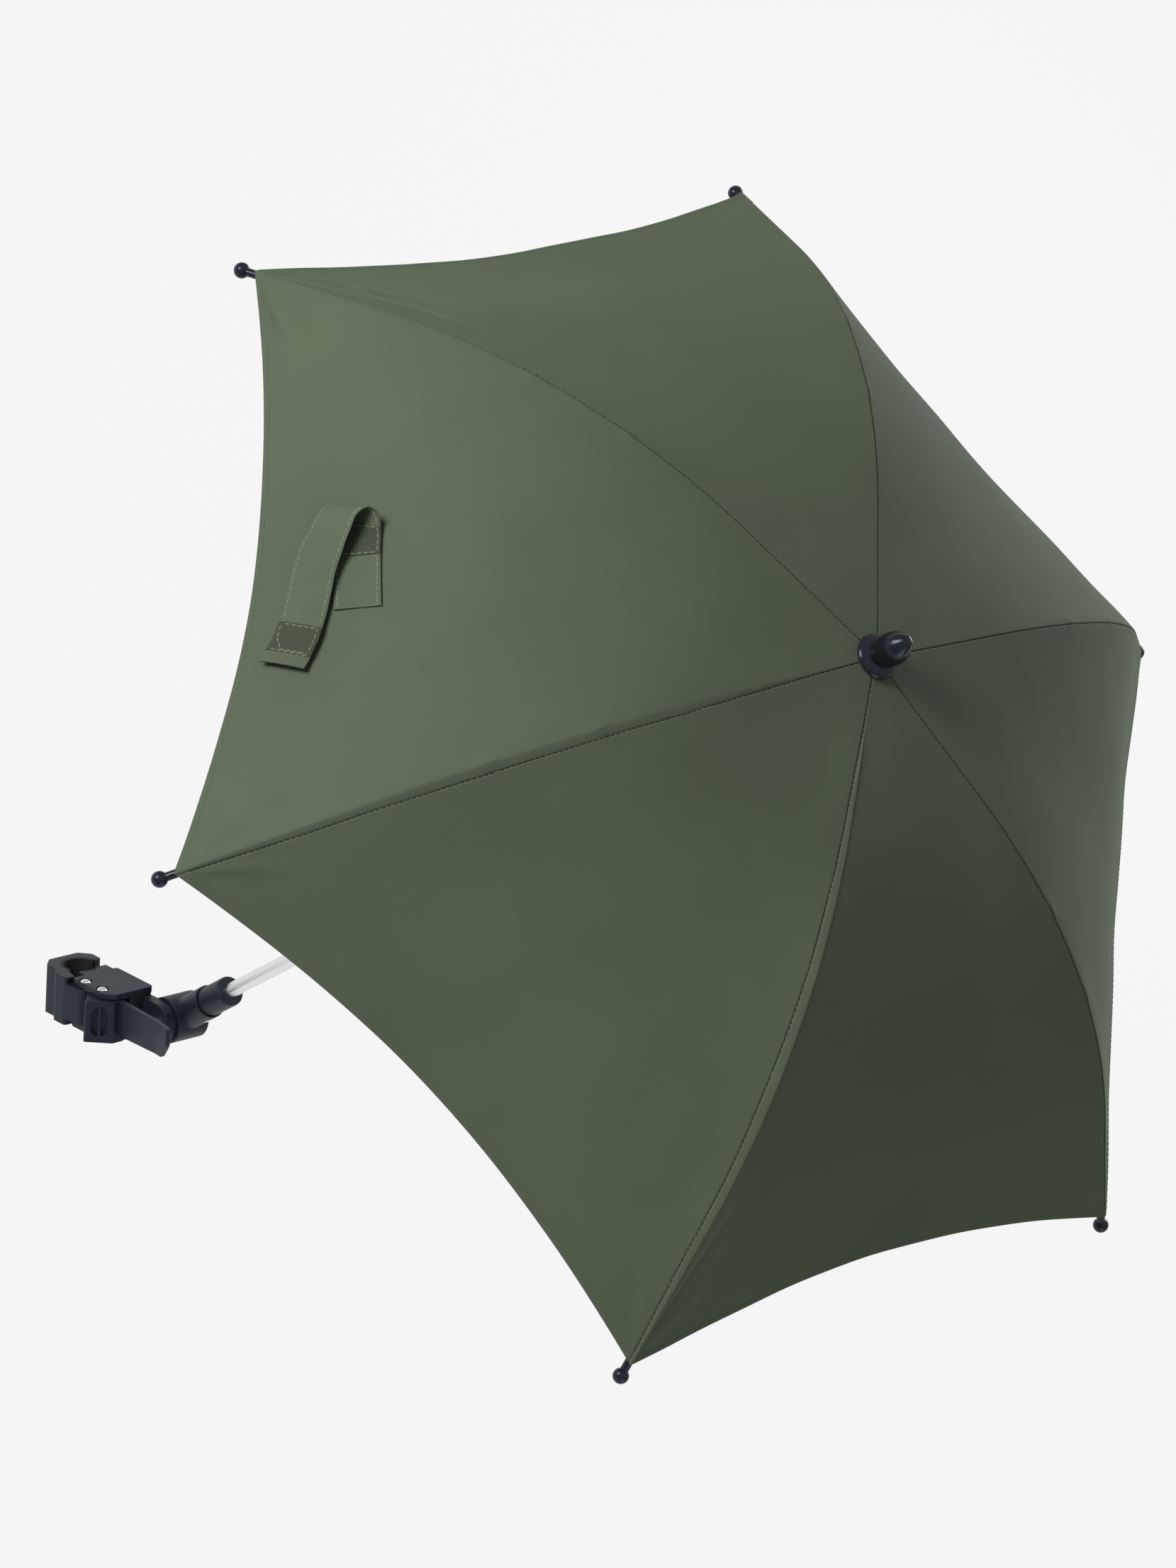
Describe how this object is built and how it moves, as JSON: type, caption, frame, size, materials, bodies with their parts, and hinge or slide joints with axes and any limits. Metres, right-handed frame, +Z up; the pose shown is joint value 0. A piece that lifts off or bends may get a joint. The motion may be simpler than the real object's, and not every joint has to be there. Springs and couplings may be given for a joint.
{
  "type": "pram parasol",
  "caption": "Folding parasol with a scalloped domed cloth canopy on hinged ribs, a bendable steel neck, a tilting knuckle and a lever clamp that grips a pram tube.",
  "frame": {"origin": "middle of the clamp's bore, on the pram tube's axis", "axes": "+Z up along the pole, +X along the tilt bolt towards its head; the pram tube leans back towards +Y"},
  "size_m": [0.7086, 0.6148, 0.7736],
  "materials": {
    "black_plastic": "moulded, satin",
    "gloss_black": "polished",
    "grip_rubber": "matt",
    "rivet_steel": "bright",
    "neck_steel": "bright, wound",
    "shaft_steel": "bright",
    "rib_steel": "plain",
    "canopy_cloth": "plain weave, matt",
    "strap_cloth": "plain weave, matt"
  },
  "bodies": {
    "clamp": {"clamp_housing": "black_plastic", "clamp_rivets": "rivet_steel", "housing_pad": "grip_rubber", "hub_bolt": "rivet_steel"},
    "jaw": {"clamp_jaw": "black_plastic", "jaw_pad": "grip_rubber"},
    "lever": {"clamp_lever": "black_plastic"},
    "knuckle": {"knuckle": "black_plastic", "knuckle_screw": "rivet_steel", "pole_plug": "black_plastic", "neck_link_1": "neck_steel"},
    "neck_2": {"neck_link_2": "neck_steel"},
    "neck_3": {"neck_link_3": "neck_steel"},
    "neck_4": {"neck_link_4": "neck_steel"},
    "shaft": {"neck_link_5": "neck_steel", "ferrule": "black_plastic", "shaft_tube": "shaft_steel", "crown": "black_plastic", "crown_pins": "rib_steel", "finial": "gloss_black"},
    "catch": {"runner_catch": "shaft_steel"},
    "runner": {"runner": "black_plastic", "runner_pins": "rib_steel"},
    "rib_1": {"rib_inner_1": "rib_steel"},
    "rib_end_1": {"rib_outer_1": "rib_steel", "rib_tip_1": "gloss_black"},
    "stretcher_1": {"stretcher_1": "rib_steel"},
    "panel_1": {"gore_inner_1": "canopy_cloth"},
    "panel_rim_1": {"gore_outer_1": "canopy_cloth"},
    "rib_2": {"rib_inner_2": "rib_steel"},
    "rib_end_2": {"rib_outer_2": "rib_steel", "rib_tip_2": "gloss_black"},
    "stretcher_2": {"stretcher_2": "rib_steel"},
    "panel_2": {"gore_inner_2": "canopy_cloth"},
    "panel_rim_2": {"gore_outer_2": "canopy_cloth"},
    "rib_3": {"rib_inner_3": "rib_steel"},
    "rib_end_3": {"rib_outer_3": "rib_steel", "rib_tip_3": "gloss_black"},
    "stretcher_3": {"stretcher_3": "rib_steel"},
    "panel_3": {"gore_inner_3": "canopy_cloth"},
    "panel_rim_3": {"gore_outer_3": "canopy_cloth", "closing_strap": "strap_cloth"},
    "rib_4": {"rib_inner_4": "rib_steel"},
    "rib_end_4": {"rib_outer_4": "rib_steel", "rib_tip_4": "gloss_black"},
    "stretcher_4": {"stretcher_4": "rib_steel"},
    "panel_4": {"gore_inner_4": "canopy_cloth"},
    "panel_rim_4": {"gore_outer_4": "canopy_cloth"},
    "rib_5": {"rib_inner_5": "rib_steel"},
    "rib_end_5": {"rib_outer_5": "rib_steel", "rib_tip_5": "gloss_black"},
    "stretcher_5": {"stretcher_5": "rib_steel"},
    "panel_5": {"gore_inner_5": "canopy_cloth"},
    "panel_rim_5": {"gore_outer_5": "canopy_cloth"},
    "rib_6": {"rib_inner_6": "rib_steel"},
    "rib_end_6": {"rib_outer_6": "rib_steel", "rib_tip_6": "gloss_black"},
    "stretcher_6": {"stretcher_6": "rib_steel"},
    "panel_6": {"gore_inner_6": "canopy_cloth"},
    "panel_rim_6": {"gore_outer_6": "canopy_cloth"}
  },
  "joints": [
    {"name": "clamp_lever_swing", "type": "hinge", "parent": "clamp", "child": "lever", "pos_m": [-0.0122, -0.02162, 0.03088], "axis": [0, -0.8192, -0.5736], "range_deg": [0, 60]},
    {"name": "clamp_jaw_swing", "type": "hinge", "parent": "clamp", "child": "jaw", "pos_m": [-0.013, -0.01291, 0.01843], "axis": [0, 0.8192, 0.5736], "range_deg": [0, 35]},
    {"name": "pole_tilt", "type": "hinge", "parent": "clamp", "child": "knuckle", "pos_m": [0.028, -0.03831, 0.04948], "axis": [1, 0, 0], "range_deg": [-54, 90]},
    {"name": "neck_bend", "type": "hinge", "parent": "knuckle", "child": "neck_2", "pos_m": [0.028, -0.03831, 0.14257], "axis": [0, 1, 0], "range_deg": [-20, 20]},
    {"name": "neck_bend_2", "type": "hinge", "parent": "neck_2", "child": "neck_3", "pos_m": [0.028, -0.03831, 0.17966], "axis": [0, 1, 0], "range_deg": [-20, 20]},
    {"name": "neck_bend_3", "type": "hinge", "parent": "neck_3", "child": "neck_4", "pos_m": [0.028, -0.03831, 0.21675], "axis": [0, 1, 0], "range_deg": [-20, 20]},
    {"name": "neck_bend_4", "type": "hinge", "parent": "neck_4", "child": "shaft", "pos_m": [0.028, -0.03831, 0.25384], "axis": [0, 1, 0], "range_deg": [-20, 20]},
    {"name": "catch_press", "type": "slide", "parent": "shaft", "child": "catch", "axis": [-0.866, -0.5, 0], "range_m": [0, 0.0012], "stiffness_N_per_m": 400, "springref_m": -0.002},
    {"name": "canopy_fold", "type": "hinge", "parent": "shaft", "child": "rib_1", "pos_m": [0.037, -0.03831, 0.72011], "axis": [0, 1, 0], "range_deg": [0, 70.95]},
    {"name": "rib_end_turn_1", "type": "hinge", "parent": "rib_1", "child": "rib_end_1", "pos_m": [0.25, -0.03831, 0.66679], "axis": [0, 1, 0], "range_deg": [-27.91, 0]},
    {"name": "stretcher_turn_1", "type": "hinge", "parent": "rib_1", "child": "stretcher_1", "pos_m": [0.19393, -0.03831, 0.68672], "axis": [0, 1, 0], "range_deg": [-142.39, 0]},
    {"name": "runner_level", "type": "hinge", "parent": "stretcher_1", "child": "runner", "pos_m": [0.037, -0.03831, 0.65334], "axis": [0, 1, 0], "range_deg": [0, 71.45]},
    {"name": "panel_fold_1", "type": "hinge", "parent": "shaft", "child": "panel_1", "pos_m": [0.03475, -0.03441, 0.72333], "axis": [-0.5, 0.866, 0], "range_deg": [0, 70.19], "deforming": ["gore_inner_1"]},
    {"name": "panel_rim_turn_1", "type": "hinge", "parent": "panel_1", "child": "panel_rim_1", "pos_m": [0.1945, 0.05782, 0.6705], "axis": [-0.5, 0.866, 0], "range_deg": [-29.78, 0], "deforming": ["gore_outer_1"]},
    {"name": "rib_fold_2", "type": "hinge", "parent": "shaft", "child": "rib_2", "pos_m": [0.0325, -0.03051, 0.72011], "axis": [-0.866, 0.5, 0], "range_deg": [0, 70.95]},
    {"name": "rib_end_turn_2", "type": "hinge", "parent": "rib_2", "child": "rib_end_2", "pos_m": [0.139, 0.15395, 0.66679], "axis": [-0.866, 0.5, 0], "range_deg": [-27.91, 0]},
    {"name": "stretcher_turn_2", "type": "hinge", "parent": "rib_2", "child": "stretcher_2", "pos_m": [0.11097, 0.1054, 0.68672], "axis": [-0.866, 0.5, 0], "range_deg": [-142.39, 0]},
    {"name": "panel_fold_2", "type": "hinge", "parent": "shaft", "child": "panel_2", "pos_m": [0.028, -0.03051, 0.72333], "axis": [-1, 0, 0], "range_deg": [0, 70.19], "deforming": ["gore_inner_2"]},
    {"name": "panel_rim_turn_2", "type": "hinge", "parent": "panel_2", "child": "panel_rim_2", "pos_m": [0.028, 0.15395, 0.6705], "axis": [-1, 0, 0], "range_deg": [-29.78, 0], "deforming": ["gore_outer_2"]},
    {"name": "rib_fold_3", "type": "hinge", "parent": "shaft", "child": "rib_3", "pos_m": [0.0235, -0.03051, 0.72011], "axis": [-0.866, -0.5, 0], "range_deg": [0, 70.95]},
    {"name": "rib_end_turn_3", "type": "hinge", "parent": "rib_3", "child": "rib_end_3", "pos_m": [-0.083, 0.15395, 0.66679], "axis": [-0.866, -0.5, 0], "range_deg": [-27.91, 0]},
    {"name": "stretcher_turn_3", "type": "hinge", "parent": "rib_3", "child": "stretcher_3", "pos_m": [-0.05497, 0.1054, 0.68672], "axis": [-0.866, -0.5, 0], "range_deg": [-142.39, 0]},
    {"name": "panel_fold_3", "type": "hinge", "parent": "shaft", "child": "panel_3", "pos_m": [0.02125, -0.03441, 0.72333], "axis": [-0.5, -0.866, 0], "range_deg": [0, 70.19], "deforming": ["gore_inner_3"]},
    {"name": "panel_rim_turn_3", "type": "hinge", "parent": "panel_3", "child": "panel_rim_3", "pos_m": [-0.1385, 0.05782, 0.6705], "axis": [-0.5, -0.866, 0], "range_deg": [-29.78, 0], "deforming": ["gore_outer_3", "closing_strap"]},
    {"name": "rib_fold_4", "type": "hinge", "parent": "shaft", "child": "rib_4", "pos_m": [0.019, -0.03831, 0.72011], "axis": [0, -1, 0], "range_deg": [0, 70.95]},
    {"name": "rib_end_turn_4", "type": "hinge", "parent": "rib_4", "child": "rib_end_4", "pos_m": [-0.194, -0.03831, 0.66679], "axis": [0, -1, 0], "range_deg": [-27.91, 0]},
    {"name": "stretcher_turn_4", "type": "hinge", "parent": "rib_4", "child": "stretcher_4", "pos_m": [-0.13793, -0.03831, 0.68672], "axis": [0, -1, 0], "range_deg": [-142.39, 0]},
    {"name": "panel_fold_4", "type": "hinge", "parent": "shaft", "child": "panel_4", "pos_m": [0.02125, -0.0422, 0.72333], "axis": [0.5, -0.866, 0], "range_deg": [0, 70.19], "deforming": ["gore_inner_4"]},
    {"name": "panel_rim_turn_4", "type": "hinge", "parent": "panel_4", "child": "panel_rim_4", "pos_m": [-0.1385, -0.13443, 0.6705], "axis": [0.5, -0.866, 0], "range_deg": [-29.78, 0], "deforming": ["gore_outer_4"]},
    {"name": "rib_fold_5", "type": "hinge", "parent": "shaft", "child": "rib_5", "pos_m": [0.0235, -0.0461, 0.72011], "axis": [0.866, -0.5, 0], "range_deg": [0, 70.95]},
    {"name": "rib_end_turn_5", "type": "hinge", "parent": "rib_5", "child": "rib_end_5", "pos_m": [-0.083, -0.23056, 0.66679], "axis": [0.866, -0.5, 0], "range_deg": [-27.91, 0]},
    {"name": "stretcher_turn_5", "type": "hinge", "parent": "rib_5", "child": "stretcher_5", "pos_m": [-0.05497, -0.18201, 0.68672], "axis": [0.866, -0.5, 0], "range_deg": [-142.39, 0]},
    {"name": "panel_fold_5", "type": "hinge", "parent": "shaft", "child": "panel_5", "pos_m": [0.028, -0.0461, 0.72333], "axis": [1, 0, 0], "range_deg": [0, 70.19], "deforming": ["gore_inner_5"]},
    {"name": "panel_rim_turn_5", "type": "hinge", "parent": "panel_5", "child": "panel_rim_5", "pos_m": [0.028, -0.23056, 0.6705], "axis": [1, 0, 0], "range_deg": [-29.78, 0], "deforming": ["gore_outer_5"]},
    {"name": "rib_fold_6", "type": "hinge", "parent": "shaft", "child": "rib_6", "pos_m": [0.0325, -0.0461, 0.72011], "axis": [0.866, 0.5, 0], "range_deg": [0, 70.95]},
    {"name": "rib_end_turn_6", "type": "hinge", "parent": "rib_6", "child": "rib_end_6", "pos_m": [0.139, -0.23056, 0.66679], "axis": [0.866, 0.5, 0], "range_deg": [-27.91, 0]},
    {"name": "stretcher_turn_6", "type": "hinge", "parent": "rib_6", "child": "stretcher_6", "pos_m": [0.11097, -0.18201, 0.68672], "axis": [0.866, 0.5, 0], "range_deg": [-142.39, 0]},
    {"name": "panel_fold_6", "type": "hinge", "parent": "shaft", "child": "panel_6", "pos_m": [0.03475, -0.0422, 0.72333], "axis": [0.5, 0.866, 0], "range_deg": [0, 70.19], "deforming": ["gore_inner_6"]},
    {"name": "panel_rim_turn_6", "type": "hinge", "parent": "panel_6", "child": "panel_rim_6", "pos_m": [0.1945, -0.13443, 0.6705], "axis": [0.5, 0.866, 0], "range_deg": [-29.78, 0], "deforming": ["gore_outer_6"]}
  ],
  "couplings": [
    {"joint": "clamp_jaw_swing", "follows": "clamp_lever_swing", "ratio": 0.58333},
    {"joint": "rib_end_turn_1", "follows": "canopy_fold", "ratio": -0.3864},
    {"joint": "stretcher_turn_1", "follows": "canopy_fold", "ratio": -2},
    {"joint": "runner_level", "follows": "canopy_fold", "ratio": 1},
    {"joint": "panel_fold_1", "follows": "canopy_fold", "ratio": 0.98222},
    {"joint": "panel_rim_turn_1", "follows": "canopy_fold", "ratio": -0.4127},
    {"joint": "rib_fold_2", "follows": "canopy_fold", "ratio": 1},
    {"joint": "rib_end_turn_2", "follows": "canopy_fold", "ratio": -0.3864},
    {"joint": "stretcher_turn_2", "follows": "canopy_fold", "ratio": -2},
    {"joint": "panel_fold_2", "follows": "canopy_fold", "ratio": 0.98222},
    {"joint": "panel_rim_turn_2", "follows": "canopy_fold", "ratio": -0.4127},
    {"joint": "rib_fold_3", "follows": "canopy_fold", "ratio": 1},
    {"joint": "rib_end_turn_3", "follows": "canopy_fold", "ratio": -0.3864},
    {"joint": "stretcher_turn_3", "follows": "canopy_fold", "ratio": -2},
    {"joint": "panel_fold_3", "follows": "canopy_fold", "ratio": 0.98222},
    {"joint": "panel_rim_turn_3", "follows": "canopy_fold", "ratio": -0.4127},
    {"joint": "rib_fold_4", "follows": "canopy_fold", "ratio": 1},
    {"joint": "rib_end_turn_4", "follows": "canopy_fold", "ratio": -0.3864},
    {"joint": "stretcher_turn_4", "follows": "canopy_fold", "ratio": -2},
    {"joint": "panel_fold_4", "follows": "canopy_fold", "ratio": 0.98222},
    {"joint": "panel_rim_turn_4", "follows": "canopy_fold", "ratio": -0.4127},
    {"joint": "rib_fold_5", "follows": "canopy_fold", "ratio": 1},
    {"joint": "rib_end_turn_5", "follows": "canopy_fold", "ratio": -0.3864},
    {"joint": "stretcher_turn_5", "follows": "canopy_fold", "ratio": -2},
    {"joint": "panel_fold_5", "follows": "canopy_fold", "ratio": 0.98222},
    {"joint": "panel_rim_turn_5", "follows": "canopy_fold", "ratio": -0.4127},
    {"joint": "rib_fold_6", "follows": "canopy_fold", "ratio": 1},
    {"joint": "rib_end_turn_6", "follows": "canopy_fold", "ratio": -0.3864},
    {"joint": "stretcher_turn_6", "follows": "canopy_fold", "ratio": -2},
    {"joint": "panel_fold_6", "follows": "canopy_fold", "ratio": 0.98222},
    {"joint": "panel_rim_turn_6", "follows": "canopy_fold", "ratio": -0.4127}
  ]
}
